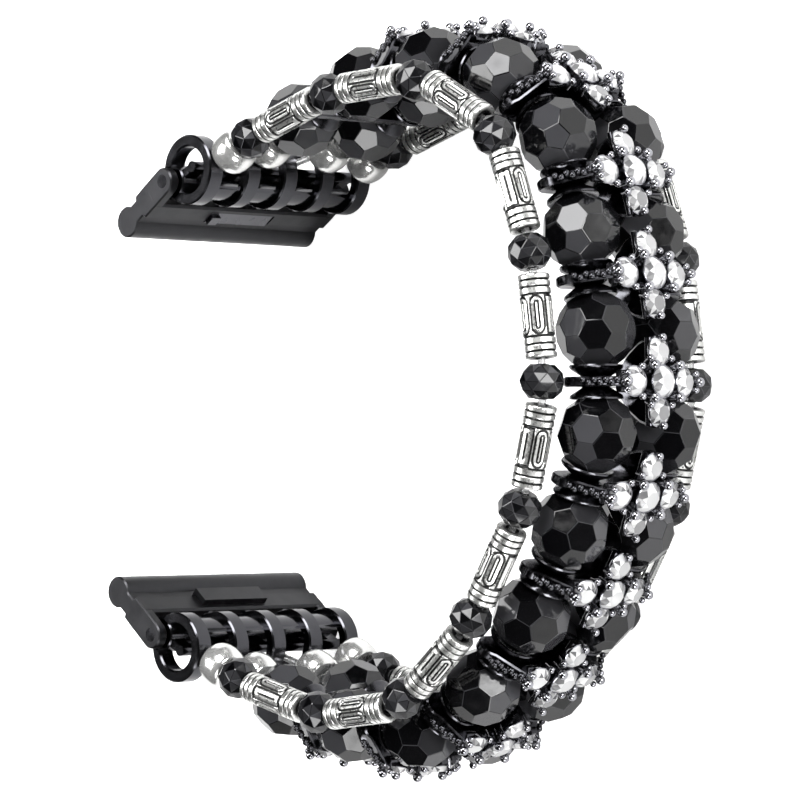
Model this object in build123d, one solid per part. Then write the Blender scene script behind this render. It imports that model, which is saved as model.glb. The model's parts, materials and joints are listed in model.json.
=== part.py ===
from build123d import *
import math
import os

os.makedirs("parts", exist_ok=True)

# Bead watch band, bent to its worn loop and lying on its side.
# X runs from the open side to the far side of the loop, Y from the lower end to the
# upper end, and Z is the width of the band. Lengths are in mm, angles in degrees.
# The band is laid out as a chain: every piece follows from the one before it.

# The loop, from the upper pin to the lower one
pin_spread = 49.0
first_heading = 28.2
row_turns = (8.2, 10.8, 17.8, 29.5, 31.7, 7.1, 10.1, 22.1, 9.8, 11.6, 18.6, 29.6, 11.9, 15.2)
band_width = 26.8
mid_width = band_width / 2

# Large faceted beads, two in each row
bead_diameter = 8.0
bead_gap = 2.2
bead_strand = 4.85
bead_radius = bead_diameter / 2
row_pitch = bead_diameter + bead_gap
bead_spin = 23.0

# Elastic cord and the holes that it runs through
cord_diameter = 0.8
hole_diameter = 1.5
cord_sides = 5
overrun = 1.0

# Small faceted beads of the two outer strands
rondelle_diameter = 4.6
rondelle_length = 3.4
rondelle_face = 2.2
rondelle_belt = 1.0
rondelle_sides = 8
strand_gap = 0.35
outer_strand = band_width / 2 - rondelle_diameter / 2
inward_shift = 1.5
corner_share = 0.25

# Carved tubes of the outer strands; their length is what the strand leaves for them, less
# what each end keeps clear of the small beads when the band bends tighter
tube_count = 10
tube_clearance = 0.25
tube_diameter = 3.2
tube_sides = 10

# Smooth beads beside the combs
smooth_diameter = 4.8
smooth_length = 3.2
smooth_face = 2.2
smooth_shoulder_diameter = 4.0
smooth_shoulder_length = 2.2
smooth_sides = 10

# Combs: ribs on a barrel round the pin, with a bar that the cords loop round
rib_count = 5
rib_pitch = 5.5
rib_width = 2.0
ring_diameter = 7.6
ring_hole_diameter = 5.0
ring_sides = 12
ring_hole_sides = 8
pin_to_ring = 2.8
pin_diameter = 1.5
pin_clearance = 0.05
barrel_diameter = 3.8
bar_diameter = 1.2
bar_forward = 0.7
bar_sides = 6
wall_thickness = 0.8
wall_start = 205.0
wall_end = 300.0
wall_facets = 3
ring_gap = 0.4
loop_inner = 3.2
loop_outer = 8.8
loop_clearance = 0.05
loop_tail = 0.6
loop_steps = 3

# Adapters: a plate with a rail on one edge and two ears that hold the pin
adapter_heading = 37.5
adapter_length = 7.1
adapter_thickness = 2.9
adapter_root_thickness = 3.0
rail_diameter = 3.4
rail_groove = 0.4
rail_groove_width = 0.9
ear_width = 1.2
adapter_sides = 12
barrel_clearance = 0.35

# Spring latches, each in a pocket of its adapter
latch_length = 9.0
latch_width = 1.7
latch_thickness = 0.5
latch_root = 1.2
latch_nub = 1.2
latch_nub_height = 0.4
latch_recess = 0.1
latch_travel = 6.0
latch_side_clearance = 0.15
latch_root_clearance = 0.1
latch_place = 3.1

# Cross spacers: two cupped discs on a plate, and a gallery with five set stones
disc_diameter = 6.6
disc_thickness = 3.4
disc_web = 2.0
cup_floor_diameter = 4.0
disc_sides = 8
plate_thickness = 1.0
plate_length = 17.0
plate_top = 1.1
plate_bottom = 1.9
plate_corner = 0.9
slot_width = 1.1
slot_rise = 1.75
slot_drop = 0.7
gallery_thickness = 0.7
post_width = 1.4
centre_stone_diameter = 3.1
arm_stone_diameter = 2.8
stone_sides = 8
table_share = 0.58
crown_share = 0.26
centre_seat = 4.55
arm_seat = 3.9
arm_across = 3.7
arm_along = 3.0
setting_rim = 0.25
setting_depth = 0.8
setting_foot_share = 0.62
tip_diameter = 0.95
tip_height = 5.75
across_tip_reach = 2.0
across_foot_reach = 1.6
along_tip_reach = 1.45
along_foot_reach = 1.65
corner_tip_along = 1.56
corner_tip_across = 1.88
corner_foot = 1.3
prong_foot_height = 3.3
prong_diameter = 0.5
prong_sides = 3


def direction(heading):
    return Vector(math.cos(math.radians(heading)), math.sin(math.radians(heading)), 0)


def frame(point, axis):
    """Local X along the axis, local Y to the outside of the loop, local Z across the band."""
    axis = axis.normalized()
    flat = Vector(axis.X, axis.Y, 0).normalized()
    outward = Vector(-flat.Y, flat.X, 0)
    return Plane(origin=point, x_dir=axis, z_dir=axis.cross(outward)).location


def polygon_face(points):
    return Face(Wire.make_polygon(points, close=True))


def turned(profile, sides, spin=0.0):
    """A form with flat sides round the X axis, from pairs of a place and a radius."""
    rings = []
    for place, radius in profile:
        ring = []
        for index in range(sides):
            angle = math.radians(spin + 360 * index / sides)
            ring.append(Vector(place, radius * math.cos(angle), radius * math.sin(angle)))
        rings.append(ring if radius > 0 else [Vector(place, 0, 0)])
    faces = []
    for first, second in zip(rings, rings[1:]):
        for index in range(sides):
            after = (index + 1) % sides
            corners = [first[index], first[after]] if len(first) > 1 else [first[0]]
            corners += [second[after], second[index]] if len(second) > 1 else [second[0]]
            faces.append(polygon_face(corners))
    for ring in (rings[0], rings[-1]):
        if len(ring) > 1:
            faces.append(polygon_face(ring))
    return Solid(Shell(faces))


def prism_x(points, start, length):
    """A prism along X from points given as pairs across and up."""
    face = polygon_face([Vector(start, up, across) for across, up in points])
    return extrude(face, amount=length, dir=(1, 0, 0))


def bore(length):
    radius = hole_diameter / 2
    reach = length / 2 + overrun
    return turned([(-reach, radius), (reach, radius)], cord_sides)


def football(diameter):
    """A ball cut to twenty six-sided and twelve five-sided facets, a five-sided one on each end."""
    radius = diameter / 2
    edge = 4 * radius / math.sqrt(58 + 18 * math.sqrt(5))
    five_reach = edge / 2 * math.sqrt((125 + 41 * math.sqrt(5)) / 10)
    six_reach = edge * math.sqrt(3) * (3 + math.sqrt(5)) / 4
    # rows of facets from the end to the middle: polar angle, count, first angle, reach
    slope = math.degrees(math.acos(math.sqrt((5 + 2 * math.sqrt(5)) / 15)))
    belt = math.degrees(math.acos(math.sqrt((5 - 2 * math.sqrt(5)) / 15)))
    lean = math.degrees(math.acos(1 / math.sqrt(5)))
    rows = ((0, 1, 0, five_reach), (slope, 5, 36, six_reach),
            (lean, 5, 0, five_reach), (belt, 5, 36, six_reach))
    ball = Box(diameter, diameter, diameter)
    for polar, count, start, reach in rows:
        for index in range(count):
            round_angle = math.radians(start + 360 * index / count)
            tilt = math.radians(polar)
            normal = Vector(math.cos(tilt), math.sin(tilt) * math.cos(round_angle),
                            math.sin(tilt) * math.sin(round_angle))
            for side in (normal, -normal):
                cut = Plane(origin=side * reach, z_dir=side)
                ball = split(ball, bisect_by=cut, keep=Keep.BOTTOM)
    return ball


def stone(diameter):
    """A flat-backed cut stone on the Y axis, its back at zero."""
    radius = diameter / 2
    profile = [(0, radius), (diameter * crown_share, radius * table_share)]
    return turned(profile, stone_sides, 180 / stone_sides).rotate(Axis.Z, 90)


def setting(diameter):
    """The cup-shaped mount under a stone, with its flat seat at zero."""
    rim = diameter / 2 + setting_rim
    cup = turned([(-setting_depth, rim * setting_foot_share), (0, rim)],
                 stone_sides, 180 / stone_sides)
    return cup.rotate(Axis.Z, 90)


def prong(place_along, place_across, foot_along, foot_across):
    """A prong from its foot on the gallery to the small ball at its tip."""
    foot = Vector(foot_along, prong_foot_height, foot_across)
    tip = Vector(place_along, tip_height, place_across)
    span = tip - foot
    neck = prong_diameter / 2
    ball = tip_diameter / 2
    profile = [(0, neck), (span.length - ball, neck), (span.length, ball),
               (span.length + ball, 0)]
    axis = span.normalized()
    side = Vector(0, 0, 1) if abs(axis.Z) < abs(axis.Y) else Vector(1, 0, 0)
    place = Plane(origin=foot, x_dir=axis, z_dir=axis.cross(side)).location
    return turned(profile, prong_sides).moved(place)


def stone_places():
    """Where the five stones sit, the outer four a step lower, and their diameters."""
    places = [Location((0, centre_seat, 0))]
    for side in (1, -1):
        places.append(Location((0, arm_seat, side * arm_across)))
    for side in (1, -1):
        places.append(Location((side * arm_along, arm_seat, 0)))
    diameters = [centre_stone_diameter] + [arm_stone_diameter] * 4
    return list(zip(places, diameters))


def plain_spacer():
    """Two discs, cupped for the beads on both sides, on a plate with clipped ends."""
    rim = disc_thickness / 2
    web = disc_web / 2
    radius = disc_diameter / 2
    disc = turned([(-rim, radius), (rim, radius)], disc_sides, 180 / disc_sides)
    flat = cup_floor_diameter / 2
    for side in (1, -1):
        cup = turned([(side * web, flat), (side * (rim + overrun),
                     radius + (radius - flat) * overrun / (rim - web))],
                     disc_sides, 180 / disc_sides)
        disc = disc - cup
    half = plate_length / 2
    outline = [(half - plate_corner, -plate_bottom), (half, -plate_bottom + plate_corner),
               (half, plate_top - plate_corner), (half - plate_corner, plate_top)]
    outline += [(-across, up) for across, up in reversed(outline)]
    spacer = prism_x(outline, -plate_thickness / 2, plate_thickness)
    for side in (1, -1):
        spacer = spacer + disc.moved(Location((0, 0, side * bead_strand)))
    return spacer


def slots(spacer):
    """The cord slots, high enough for the cords of a bent band."""
    for side in (1, -1):
        opening = Box(disc_thickness + overrun, slot_rise + slot_drop, slot_width)
        middle = (slot_rise - slot_drop) / 2
        spacer = spacer - opening.moved(Location((0, middle, side * bead_strand)))
    return spacer


def gallery():
    """The plus-shaped plate under the stones, with the ends of its arms clipped."""
    half = arm_stone_diameter / 2 + setting_rim
    clip = half * (2 - math.sqrt(2))
    along_end = arm_along + half
    across_end = arm_across + half
    quarter = [(along_end, half - clip), (along_end - clip, half), (half, half),
               (half, across_end - clip), (half - clip, across_end)]
    outline = []
    for side, other in ((1, 1), (-1, 1), (-1, -1), (1, -1)):
        corners = quarter if side == other else reversed(quarter)
        outline += [Vector(side * along, arm_seat, other * across) for along, across in corners]
    return extrude(polygon_face(outline), amount=gallery_thickness, dir=(0, -1, 0))


def cross_spacer():
    foot = plate_bottom
    post_height = arm_seat - gallery_thickness / 2 + foot
    post = Box(plate_thickness, post_height, post_width)
    spacer = plain_spacer() + post.moved(Location((0, post_height / 2 - foot, 0)))
    cup = setting(centre_stone_diameter).moved(Location((0, centre_seat, 0)))
    spacer = spacer + gallery() + cup
    prongs = [(0, side * (arm_across + across_tip_reach),
               0, side * (arm_across + across_foot_reach)) for side in (1, -1)]
    prongs += [(side * (arm_along + along_tip_reach), 0,
                side * (arm_along + along_foot_reach), 0) for side in (1, -1)]
    prongs += [(side * corner_tip_along, other * corner_tip_across,
                side * corner_foot, other * corner_foot)
               for side in (1, -1) for other in (1, -1)]
    for along, across, foot_along, foot_across in prongs:
        spacer = spacer + prong(along, across, foot_along, foot_across)
    return slots(spacer)


def comb():
    """Local X points from the pin to the beads; the centre of the rings is the origin."""
    width = (rib_count - 1) * rib_pitch + rib_width
    low = Plane.XY.offset(-width / 2)
    pin_place = Location((-pin_to_ring, 0, 0))
    barrel = extrude(low * pin_place * RegularPolygon(barrel_diameter / 2, ring_hole_sides),
                     amount=width)
    bar = extrude(low * Location((bar_forward, 0, 0)) * RegularPolygon(bar_diameter / 2, bar_sides),
                  amount=width)
    outer = ring_diameter / 2
    inner = outer - wall_thickness
    arc = []
    for radius, order in ((outer, range(wall_facets + 1)), (inner, range(wall_facets, -1, -1))):
        for index in order:
            angle = wall_start + (wall_end - wall_start) * index / wall_facets
            arc.append(direction(angle) * radius)
    wall = extrude(low * polygon_face(arc), amount=width)
    body = barrel + bar + wall
    ring = RegularPolygon(outer, ring_sides) - RegularPolygon(ring_hole_diameter / 2,
                                                              ring_hole_sides)
    spoke = Pos((bar_forward - pin_to_ring) / 2, 0) * Rectangle(pin_to_ring + bar_forward,
                                                                bar_diameter)
    rib = extrude(ring + spoke, amount=rib_width)
    for index in range(rib_count):
        height = -width / 2 + index * rib_pitch
        body = body + rib.moved(Location((0, 0, height)))
    hole = Cylinder(pin_diameter / 2 + pin_clearance, width + overrun)
    return body - hole.moved(pin_place)


def adapter():
    """Local X points from the rail to the pin; the pin is the origin."""
    root = adapter_root_thickness / 2
    half = adapter_thickness / 2
    rail = rail_diameter / 2
    low = Plane.XY.offset(-band_width / 2)
    outline = [Vector(0, root), Vector(-adapter_length, half),
               Vector(-adapter_length, -half), Vector(0, -root)]
    round_root = RegularPolygon(root, adapter_sides)
    round_rail = RegularPolygon(rail, adapter_sides)
    shape = polygon_face(outline) + round_root + Pos(-adapter_length, 0) * round_rail
    for side in (1, -1):
        groove_place = -adapter_length + rail + rail_groove_width / 2
        groove = Pos(groove_place, side * half) * Rectangle(rail_groove_width, 2 * rail_groove)
        shape = shape - groove
    body = extrude(low * shape, amount=band_width)
    gap = band_width - 2 * ear_width
    reach = barrel_diameter / 2 + barrel_clearance
    opening = Box(reach + 2 * root, rail_diameter + 2 * overrun, gap)
    body = body - opening.moved(Location((-reach + (reach + 2 * root) / 2, 0, 0)))
    hole = Cylinder(pin_diameter / 2, band_width + overrun)
    body = body - hole
    drop = latch_length * math.sin(math.radians(latch_travel))
    depth = latch_recess + latch_thickness + drop + latch_side_clearance
    pocket = Box(latch_width + 2 * latch_side_clearance, depth,
                 latch_length + 2 * latch_side_clearance)
    inner_face = -half - (root - half) * (1 - latch_place / adapter_length)
    pocket_place = Location((-latch_place - latch_width / 2, inner_face + depth / 2, 0))
    return body - pocket.moved(pocket_place)


def latch_face():
    half = adapter_thickness / 2
    root = adapter_root_thickness / 2
    return -half - (root - half) * (1 - latch_place / adapter_length)


def latch():
    """A leaf with a nub on its free end, in the adapter's own frame."""
    middle = -latch_place - latch_width / 2
    top = latch_face() + latch_recess + latch_thickness
    leaf = Box(latch_width, latch_thickness, latch_length)
    leaf = leaf.moved(Location((middle, top - latch_thickness / 2, 0)))
    drop = latch_length * math.sin(math.radians(latch_travel))
    root_height = drop + latch_thickness + latch_side_clearance - latch_root_clearance
    root = Box(latch_width, root_height, latch_root)
    root_place = (latch_root - latch_length) / 2
    root = root.moved(Location((middle, top - latch_thickness + root_height / 2, root_place)))
    nub_height = latch_nub_height + latch_recess
    nub = Box(latch_nub, nub_height, latch_nub)
    nub_place = (latch_length - latch_nub) / 2
    nub = nub.moved(Location((middle, top - latch_thickness - nub_height / 2, nub_place)))
    return leaf + root + nub


# The chain of places in the plane of the loop
headings = [first_heading]
for turn in row_turns:
    headings.append(headings[-1] - turn)
upper_pin = Vector(0, pin_spread / 2, mid_width)
ring_to_smooth = ring_diameter / 2 + smooth_length / 2 + ring_gap
smooth_to_row = smooth_length / 2 + bead_diameter / 2 + strand_gap
upper_ring = upper_pin + direction(headings[0]) * pin_to_ring
rows = [upper_ring + direction(headings[0]) * (ring_to_smooth + smooth_to_row)]
for heading in headings[1:-1]:
    rows.append(rows[-1] + direction(heading) * row_pitch)
lower_ring = rows[-1] + direction(headings[-1]) * (ring_to_smooth + smooth_to_row)
lower_pin = lower_ring + direction(headings[-1]) * pin_to_ring


def across(point, strand):
    return Vector(point.X, point.Y, mid_width + strand)


# Big beads, their cords' corners and the spacers between the rows
bead_axes = [direction(headings[index] - row_turns[index] / 2) for index in range(len(rows))]
links = list(zip(rows, rows[1:]))

# The outer strand: corners where its pieces meet, laid along a line inside the loop
shifted = [upper_ring]
for index, row in enumerate(rows):
    outward = Vector(-bead_axes[index].Y, bead_axes[index].X, 0)
    shifted.append(row - outward * (inward_shift / math.cos(math.radians(row_turns[index] / 2))))
shifted.append(lower_ring)
# its corners are cut once, so that each turn is shared by two of them
softened = [shifted[0]]
for start, end in zip(shifted, shifted[1:]):
    softened += [start + (end - start) * corner_share, end - (end - start) * corner_share]
shifted = softened[:1] + softened[2:-2] + [lower_ring]


def next_corner(start, place, length):
    """The point of the line, past the given place, at this straight distance from the start."""
    low = place
    high = place
    last = len(shifted) - 1.0

    def at(share):
        share = min(share, last)
        index = min(int(share), len(shifted) - 2)
        return shifted[index] + (shifted[index + 1] - shifted[index]) * (share - index)

    while high < last and (at(high) - start).length < length:
        low = high
        high = min(high + 1 / len(shifted), last)
    if (at(high) - start).length < length:
        beyond = (shifted[-1] - shifted[-2]).normalized()
        return shifted[-1] + beyond * (length - (shifted[-1] - start).length), last
    for _ in range(40):
        middle = (low + high) / 2
        if (at(middle) - start).length < length:
            low = middle
        else:
            high = middle
    return at(high), high


end_length = ring_to_smooth + smooth_length / 2 + rondelle_length + 1.5 * strand_gap


def walk(tube_length):
    """All corners of the outer strand, and how far past the lower ring it comes."""
    lengths = [end_length]
    for _ in range(tube_count - 1):
        lengths += [tube_length + strand_gap, rondelle_length + strand_gap]
    lengths += [tube_length + strand_gap, end_length]
    corners = [upper_ring]
    place = 0.0
    for length in lengths:
        corner, place = next_corner(corners[-1], place, length)
        corners.append(corner)
    return corners


def miss(tube_length):
    corners = walk(tube_length)
    beyond = direction(headings[-1])
    return (corners[-1] - lower_ring).dot(beyond)


low_length = rondelle_length
high_length = 4 * rondelle_length
for _ in range(40):
    tube_length = (low_length + high_length) / 2
    if miss(tube_length) < 0:
        low_length = tube_length
    else:
        high_length = tube_length
# the last corner is the lower ring itself once the length is found
outer_corners = walk(tube_length)
outer_corners[-1] = lower_ring


def strand_corners(side):
    """Corners of an outer cord from loop to loop, spreading from the combs to full width."""
    heights = [loop_outer] + [outer_strand] * (len(outer_corners) - 2) + [loop_outer]
    return [across(point, side * height) for point, height in zip(outer_corners, heights)]


def bead_corners(side):
    """Corners of a middle cord: the mouths of the big beads."""
    corners = [across(upper_ring, side * loop_inner)]
    for row, axis in zip(rows, bead_axes):
        middle = across(row, side * bead_strand)
        corners += [middle - axis * bead_radius, middle + axis * bead_radius]
    corners.append(across(lower_ring, side * loop_inner))
    return corners


def hook(corner, toward, flip):
    """The end of a cord, from its tail behind the bar of a comb, over it and to its strand."""
    axis = (toward - corner).normalized()
    flat = Vector(axis.X, axis.Y, 0).normalized()
    up = Vector(-flat.Y, flat.X, 0) * flip
    middle = corner + axis * bar_forward
    start = ring_diameter / 2
    reach = bar_diameter / 2 + cord_diameter / 2 + loop_clearance
    angle = math.acos(reach / (start - bar_forward))
    step = (math.pi - angle) / loop_steps
    reach = reach / math.cos(step / 2)
    turns = [math.pi - step * index for index in range(loop_steps + 1)]
    bend = [middle + axis * (reach * math.cos(turn)) + up * (reach * math.sin(turn))
            for turn in turns]
    return [bend[0] - up * loop_tail] + bend + [corner + axis * start]


def cord(corners):
    """One elastic cord from comb to comb, in straight runs from piece to piece."""
    points = hook(corners[0], corners[1], 1) + list(corners[1:-1])
    points += reversed(hook(corners[-1], corners[-2], -1))
    path = Polyline(points)
    section = Plane(origin=points[0], z_dir=points[1] - points[0]) \
        * RegularPolygon(cord_diameter / 2, cord_sides)
    return sweep(section, path=path, transition=Transition.RIGHT)


nodes = {}

# Rows: two big beads each
ball = football(bead_diameter) - bore(bead_diameter)
for index, (row, axis) in enumerate(zip(rows, bead_axes)):
    solids = []
    for side in (1, -1):
        spun = ball.rotate(Axis.X, bead_spin * (2 * index + side))
        solids.append(spun.moved(frame(across(row, side * bead_strand), axis)))
    nodes[f"glass_beads_{index + 1:02d}"] = solids

# Outer strands: small faceted beads ride with the rows, tubes have their own nodes
rondelle_radius = rondelle_diameter / 2
rondelle = turned([(-rondelle_length / 2, rondelle_face / 2), (-rondelle_belt / 2, rondelle_radius),
                   (rondelle_belt / 2, rondelle_radius), (rondelle_length / 2, rondelle_face / 2)],
                  rondelle_sides) - bore(rondelle_length)
tube_end = tube_length / 2 - tube_clearance
tube_form = turned([(-tube_end, tube_diameter / 2), (tube_end, tube_diameter / 2)],
                   tube_sides, 180 / tube_sides) - bore(tube_length)
smooth_bead = turned([(-smooth_length / 2, smooth_face / 2),
                      (-smooth_shoulder_length / 2, smooth_shoulder_diameter / 2),
                      (0, smooth_diameter / 2),
                      (smooth_shoulder_length / 2, smooth_shoulder_diameter / 2),
                      (smooth_length / 2, smooth_face / 2)], smooth_sides) - bore(smooth_length)

pieces = {}
for side in (1, -1):
    corners = strand_corners(side)
    end_axis = (corners[1] - corners[0]).normalized()
    last_axis = (corners[-1] - corners[-2]).normalized()
    from_ring = ring_to_smooth + smooth_length / 2 + strand_gap + rondelle_length / 2
    axes = [(end - start).normalized() for start, end in zip(corners, corners[1:])]
    placed = [(corners[0] + end_axis * from_ring, end_axis)]
    for order in range(1, len(axes) - 1):
        middle = (corners[order] + corners[order + 1]) / 2
        # a small bead lies halfway between the directions of its two tubes
        axis = axes[order] if order % 2 else (axes[order - 1] + axes[order + 1]).normalized()
        placed.append((middle, axis))
    placed.append((corners[-1] - last_axis * from_ring, last_axis))
    pieces[side] = placed

# Which row each small bead rides with
rondelle_rows = (1, 2, 4, 5, 6, 7, 9, 10, 11, 13, 14)
for order, row in enumerate(rondelle_rows):
    for side in (1, -1):
        place, axis = pieces[side][2 * order]
        nodes[f"glass_beads_{row:02d}"].append(rondelle.moved(frame(place, axis)))

for order in range(tube_count):
    solids = []
    for side in (1, -1):
        place, axis = pieces[side][2 * order + 1]
        solids.append(tube_form.moved(frame(place, axis)))
    nodes[f"silver_tubes_{order + 1:02d}"] = solids

# Smooth beads beside each comb
for name, end in (("upper", 0), ("lower", -1)):
    solids = []
    for side in (1, -1):
        for corners in (bead_corners(side), strand_corners(side)):
            toward = corners[1] if end == 0 else corners[-2]
            axis = (toward - corners[end]).normalized()
            place = corners[end] + axis * ring_to_smooth
            solids.append(smooth_bead.moved(frame(place, axis)))
    nodes[f"smooth_beads_{name}"] = solids

# Spacers and their stones; the first link has the plain form
plain = slots(plain_spacer())
crossed = cross_spacer()
set_stones = [stone(diameter).moved(place) for place, diameter in stone_places()]
for index, (start, end) in enumerate(links):
    place = frame(across((start + end) / 2, 0), direction(headings[index + 1]))
    form = crossed if index > 0 else plain
    nodes[f"cross_spacer_{index + 1:02d}"] = [form.moved(place)]
    if index > 0:
        nodes[f"rhinestones_{index + 1:02d}"] = [gem.moved(place) for gem in set_stones]

# Combs, adapters, pins and latches at both ends
comb_form = comb()
adapter_form = adapter()
latch_form = latch()
pin_form = Cylinder(pin_diameter / 2, band_width)
ends = (("upper", upper_ring, upper_pin, headings[0], adapter_heading, False),
        ("lower", lower_ring, lower_pin, headings[-1] + 180, -adapter_heading, True))
for name, ring, pin, comb_angle, adapter_angle, flipped in ends:
    forms = [comb_form, adapter_form, latch_form]
    if flipped:
        forms = [form.mirror(Plane.XZ) for form in forms]
    nodes[f"comb_{name}"] = [forms[0].moved(Location(ring, (0, 0, comb_angle)))]
    nodes[f"adapter_{name}"] = [forms[1].moved(Location(pin, (0, 0, adapter_angle)))]
    nodes[f"adapter_pin_{name}"] = [pin_form.moved(Location(pin))]
    nodes[f"spring_latch_{name}"] = [forms[2].moved(Location(pin, (0, 0, adapter_angle)))]

# Elastic cords, four in one node
nodes["elastic_cords"] = [cord(corners(side)) for side in (1, -1)
                          for corners in (bead_corners, strand_corners)]

# The origin goes to the middle of the underside
everything = [solid for solids in nodes.values() for solid in solids]
boxes = [solid.bounding_box() for solid in everything]
low = Vector(*[min(getattr(box.min, axis) for box in boxes) for axis in "XYZ"])
high = Vector(*[max(getattr(box.max, axis) for box in boxes) for axis in "XYZ"])
size = high - low
shift = Vector(-(low.X + high.X) / 2, -(low.Y + high.Y) / 2, -low.Z)
for name, solids in nodes.items():
    moved = [solid.moved(Location(shift)) for solid in solids]
    export_step(Compound(label=name, children=moved), f"parts/{name}.step")

print("nodes", len(nodes), "solids", len(everything), "tube length", round(tube_length, 3))
print("size", round(size.X, 2), round(size.Y, 2), round(size.Z, 2))
print("rows", [(round(row.X, 2), round(row.Y, 2)) for row in rows])
print("lower pin", round(lower_pin.X, 2), round(lower_pin.Y, 2))
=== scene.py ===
# %% [markdown]
# This lesson dresses an elastic band of black cut beads, carved silver tubes and
# stone-set crosses. The solids of the band come in as a fixed frame: they hold its real
# sizes and its joints. Blender adds what makes it look made: round rims, cut stones,
# carving, polish and wear. Each new piece takes its place from the frame.

# %% The frame and its box
import json
import math
import random

import bmesh
import bpy
import numpy as np
from mathutils import Matrix, Vector

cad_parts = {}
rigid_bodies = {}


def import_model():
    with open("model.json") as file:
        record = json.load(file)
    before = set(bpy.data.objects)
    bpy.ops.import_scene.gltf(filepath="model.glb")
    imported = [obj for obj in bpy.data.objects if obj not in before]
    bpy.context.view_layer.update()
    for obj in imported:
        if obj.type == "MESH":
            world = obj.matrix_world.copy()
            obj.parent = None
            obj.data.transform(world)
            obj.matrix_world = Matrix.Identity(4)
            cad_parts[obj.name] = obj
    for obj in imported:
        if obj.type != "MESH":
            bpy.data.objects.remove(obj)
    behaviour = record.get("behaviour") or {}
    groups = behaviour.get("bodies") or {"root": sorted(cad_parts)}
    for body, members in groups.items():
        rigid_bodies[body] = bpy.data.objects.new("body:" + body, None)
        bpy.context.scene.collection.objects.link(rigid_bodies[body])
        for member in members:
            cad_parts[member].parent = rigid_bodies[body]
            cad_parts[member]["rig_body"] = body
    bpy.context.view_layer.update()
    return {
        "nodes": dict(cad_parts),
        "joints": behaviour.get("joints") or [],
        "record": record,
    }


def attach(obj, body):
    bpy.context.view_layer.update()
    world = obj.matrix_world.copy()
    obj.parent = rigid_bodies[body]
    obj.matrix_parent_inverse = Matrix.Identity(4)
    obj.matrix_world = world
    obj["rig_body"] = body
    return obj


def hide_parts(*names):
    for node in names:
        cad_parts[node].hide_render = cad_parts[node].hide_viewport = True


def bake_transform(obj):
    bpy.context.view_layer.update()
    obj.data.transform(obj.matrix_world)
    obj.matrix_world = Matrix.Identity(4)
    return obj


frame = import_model()
mm = 0.001
random.seed(7)

# %% [markdown]
# The band is a chain, so nearly every place follows from its joints. A row of beads turns
# about its own middle, and a spacer stands halfway between two rows. Reading the joints
# keeps the looks and the motion together, with no second list of places.

# %% Places along the chain
joint_places = {joint["name"]: Vector(joint["pos_m"]) / mm
                for joint in frame["joints"] if joint["type"] == "hinge"}
mount_places = {mount["name"]: Vector(mount["pos_m"]) / mm for mount in frame["record"]["mounts"]}
row_count = 14
rows = [joint_places[f"row_{number:02d}_bend"] for number in range(1, row_count + 1)]
pins = {end: joint_places[f"adapter_{end}_swing"] for end in ("upper", "lower")}
bars = {end: joint_places[f"comb_{end}_swing"] for end in ("upper", "lower")}
mid_width = rows[0].z
print("rows", len(rows), "middle of the width", round(mid_width, 2), "mm")


def stand(origin, axis):
    """Local X along the band, local Y to the outside of the loop, local Z across it."""
    along = axis.normalized()
    flat = Vector((along.x, along.y, 0)).normalized()
    outward = Vector((-flat.y, flat.x, 0))
    across = along.cross(outward)
    turn = Matrix((along, across.cross(along), across)).transposed()
    return Matrix.Translation(origin) @ turn.to_4x4()


links = [stand((start + end) / 2, end - start) for start, end in zip(rows, rows[1:])]
spacer_bodies = ["middle_link" if number == 7 else f"spacer_{number:02d}"
                 for number in range(1, row_count)]

# %% [markdown]
# Most looks are made in two plain ways: turning a profile round a line, and raising an
# outline to a slab. A Form gathers the points of one piece in millimetres, and turns them
# into a mesh in metres when it is whole.

# %% A form and the ways to fill it
class Form:
    """The points and faces of one piece, in millimetres, with a finish number on each face."""

    def __init__(self):
        self.points = []
        self.faces = []
        self.finishes = []

    def add(self, points, faces, place=Matrix(), finish=0):
        first = len(self.points)
        self.points += [place @ Vector(point) for point in points]
        self.faces += [[first + index for index in face] for face in faces]
        self.finishes += [finish] * len(faces)
        return self

    def mesh(self, name, materials, sharp=40, smooth=True):
        shape = bmesh.new()
        corners = [shape.verts.new(point * mm) for point in self.points]
        for face, finish in zip(self.faces, self.finishes):
            shape.faces.new([corners[index] for index in face]).material_index = finish
        bmesh.ops.remove_doubles(shape, verts=shape.verts, dist=0.002 * mm)
        bmesh.ops.dissolve_degenerate(shape, edges=shape.edges, dist=0.001 * mm)
        bmesh.ops.recalc_face_normals(shape, faces=shape.faces)
        data = bpy.data.meshes.new(name)
        shape.to_mesh(data)
        shape.free()
        for material in materials:
            data.materials.append(material)
        if smooth:
            data.shade_smooth()
            data.set_sharp_from_angle(angle=math.radians(sharp))
        return data


def wrapped(rings, sides, closed=False):
    """Faces from each ring of points to the next; closed joins the last to the first."""
    faces = []
    for ring in range(rings if closed else rings - 1):
        after = (ring + 1) % rings
        for index in range(sides):
            beside = (index + 1) % sides
            faces.append((ring * sides + index, ring * sides + beside,
                          after * sides + beside, after * sides + index))
    return faces


def circle(radius, count, start=0.0):
    """Points on a circle, as pairs; start moves them on by that share of a step."""
    return [(radius * math.cos(math.tau * (index + start) / count),
             radius * math.sin(math.tau * (index + start) / count)) for index in range(count)]


def turned(profile, sides, closed=False):
    """A profile of places along X and radii, turned round X; closed joins its ends."""
    points = [(place, y, z) for place, radius in profile for y, z in circle(radius, sides)]
    return points, wrapped(len(profile), sides, closed)


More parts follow.
